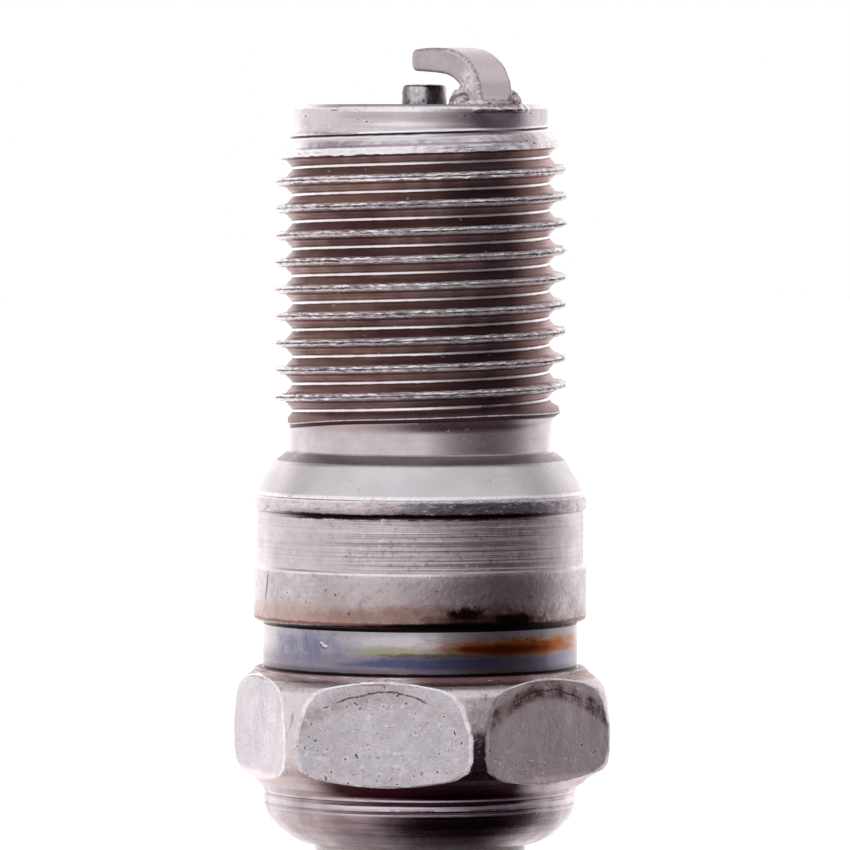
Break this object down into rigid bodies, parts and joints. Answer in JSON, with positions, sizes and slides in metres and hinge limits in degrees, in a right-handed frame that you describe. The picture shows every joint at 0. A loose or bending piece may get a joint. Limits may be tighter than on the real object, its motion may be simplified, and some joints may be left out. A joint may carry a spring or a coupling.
{
  "type": "spark plug",
  "caption": "Spark plug with a threaded shell, conical seat, hexagon, bent side electrode, ribbed insulator and a removable terminal nut.",
  "frame": {"origin": "on the plug's axis, at the gauge plane of the shell's conical seat (14.8 mm diameter)", "axes": "+Z along the axis towards the firing end, -Z towards the terminal nut; the side electrode stands towards +X and -Y"},
  "size_m": [0.0174, 0.017, 0.0708],
  "materials": {
    "shell_steel": "nickel-plated steel, worn and stained by heat",
    "side_electrode_nickel": "nickel alloy, dull from heat",
    "centre_electrode_nickel": "nickel alloy, dark from heat",
    "core_copper": "plain copper",
    "insulator_alumina": "white alumina, glazed outside the shell",
    "packing_steel": "plain mild steel",
    "packing_talc": "pressed talc powder",
    "seal_glass": "copper-filled glass, opaque",
    "resistor_carbon": "carbon-filled glass and ceramic",
    "terminal_steel": "nickel-plated steel"
  },
  "bodies": {
    "plug": {"metal_shell": "shell_steel", "ground_electrode": "side_electrode_nickel", "centre_electrode": "centre_electrode_nickel", "copper_core": "core_copper", "insulator": "insulator_alumina", "seat_washer": "packing_steel", "upper_packing_ring": "packing_steel", "talc_packing": "packing_talc", "lower_packing_ring": "packing_steel", "lower_glass_seal": "seal_glass", "resistor_element": "resistor_carbon", "upper_glass_seal": "seal_glass", "terminal_stud": "terminal_steel"},
    "terminal_nut": {"terminal_nut": "terminal_steel"}
  },
  "joints": [
    {"name": "terminal_nut_unscrew", "type": "slide", "parent": "plug", "child": "terminal_nut", "axis": [0, 0, -1], "range_m": [0, 0.009]}
  ]
}
